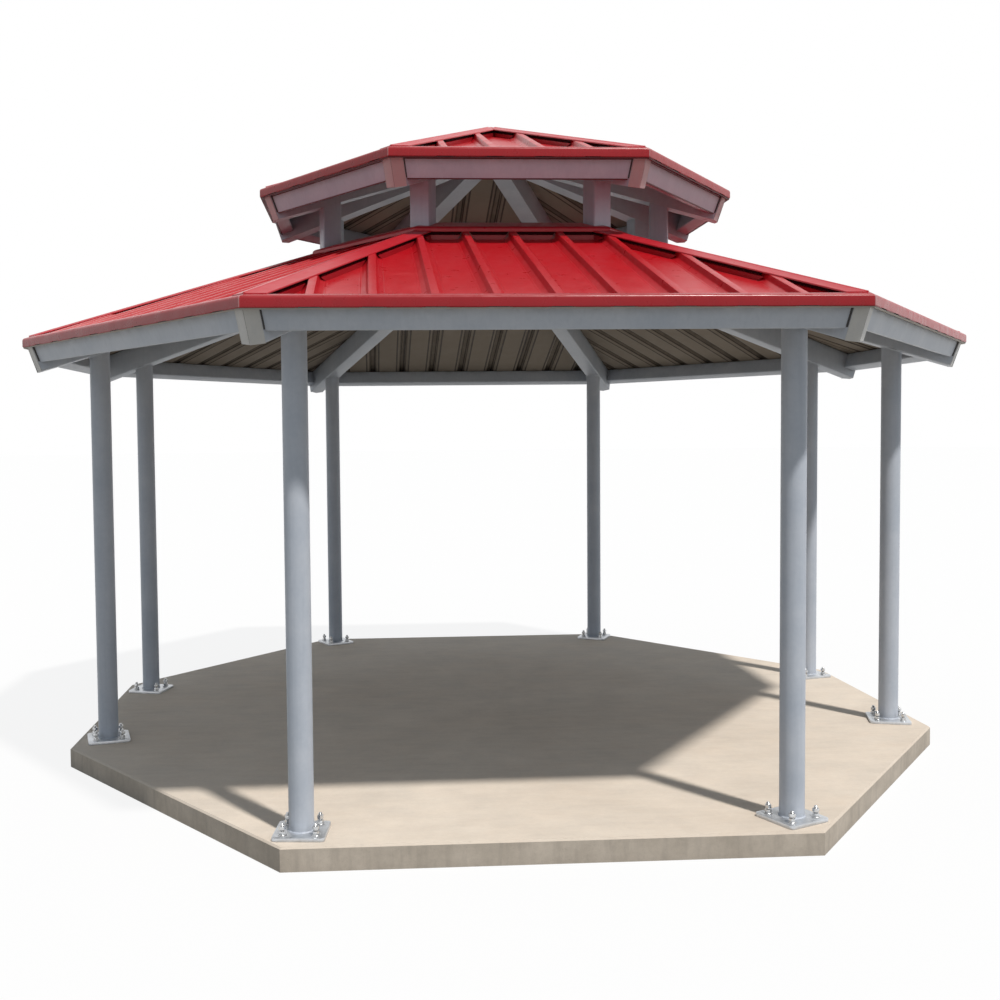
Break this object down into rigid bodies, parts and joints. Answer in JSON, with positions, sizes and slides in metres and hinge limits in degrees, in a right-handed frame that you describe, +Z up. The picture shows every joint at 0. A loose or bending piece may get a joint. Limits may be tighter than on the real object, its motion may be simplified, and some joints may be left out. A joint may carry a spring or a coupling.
{
  "type": "octagonal gazebo",
  "caption": "Octagonal steel gazebo with a two-tier ribbed metal roof on round posts, standing on a concrete slab",
  "frame": {"origin": "centre of the slab's underside", "axes": "+Z up; -Y through the middle of the front side; +X to the right seen from the front"},
  "size_m": [6.54, 6.54, 4.566],
  "materials": {
    "concrete": "broomed pale concrete",
    "galvanised_plate": "galvanised, slightly weathered",
    "red_sheet": "glossy red coil coating, beige underneath",
    "red_trim": "glossy red coil coating",
    "frame_paint": "blue-grey powder coat"
  },
  "bodies": {
    "root": {"apex_hub": "frame_paint", "base_plates": "galvanised_plate", "eave_beam_back": "frame_paint", "eave_beam_back_left": "frame_paint", "eave_beam_back_right": "frame_paint", "eave_beam_front": "frame_paint", "eave_beam_front_left": "frame_paint", "eave_beam_front_right": "frame_paint", "eave_beam_left": "frame_paint", "eave_beam_right": "frame_paint", "eave_trim": "red_trim", "hip_caps": "red_trim", "lantern_posts": "frame_paint", "lantern_ring": "frame_paint", "post_back_left": "frame_paint", "post_back_right": "frame_paint", "post_front_left": "frame_paint", "post_front_right": "frame_paint", "post_left_back": "frame_paint", "post_left_front": "frame_paint", "post_right_back": "frame_paint", "post_right_front": "frame_paint", "rafter_back_left": "frame_paint", "rafter_back_right": "frame_paint", "rafter_front_left": "frame_paint", "rafter_front_right": "frame_paint", "rafter_left_back": "frame_paint", "rafter_left_front": "frame_paint", "rafter_right_back": "frame_paint", "rafter_right_front": "frame_paint", "ring_cap": "red_trim", "roof_panel_back": "red_sheet", "roof_panel_back_left": "red_sheet", "roof_panel_back_right": "red_sheet", "roof_panel_front": "red_sheet", "roof_panel_front_left": "red_sheet", "roof_panel_front_right": "red_sheet", "roof_panel_left": "red_sheet", "roof_panel_right": "red_sheet", "slab": "concrete", "upper_eave_beams": "frame_paint", "upper_eave_trim": "red_trim", "upper_hip_caps": "red_trim", "upper_rafters": "frame_paint", "upper_roof_panels": "red_sheet"}
  },
  "joints": []
}
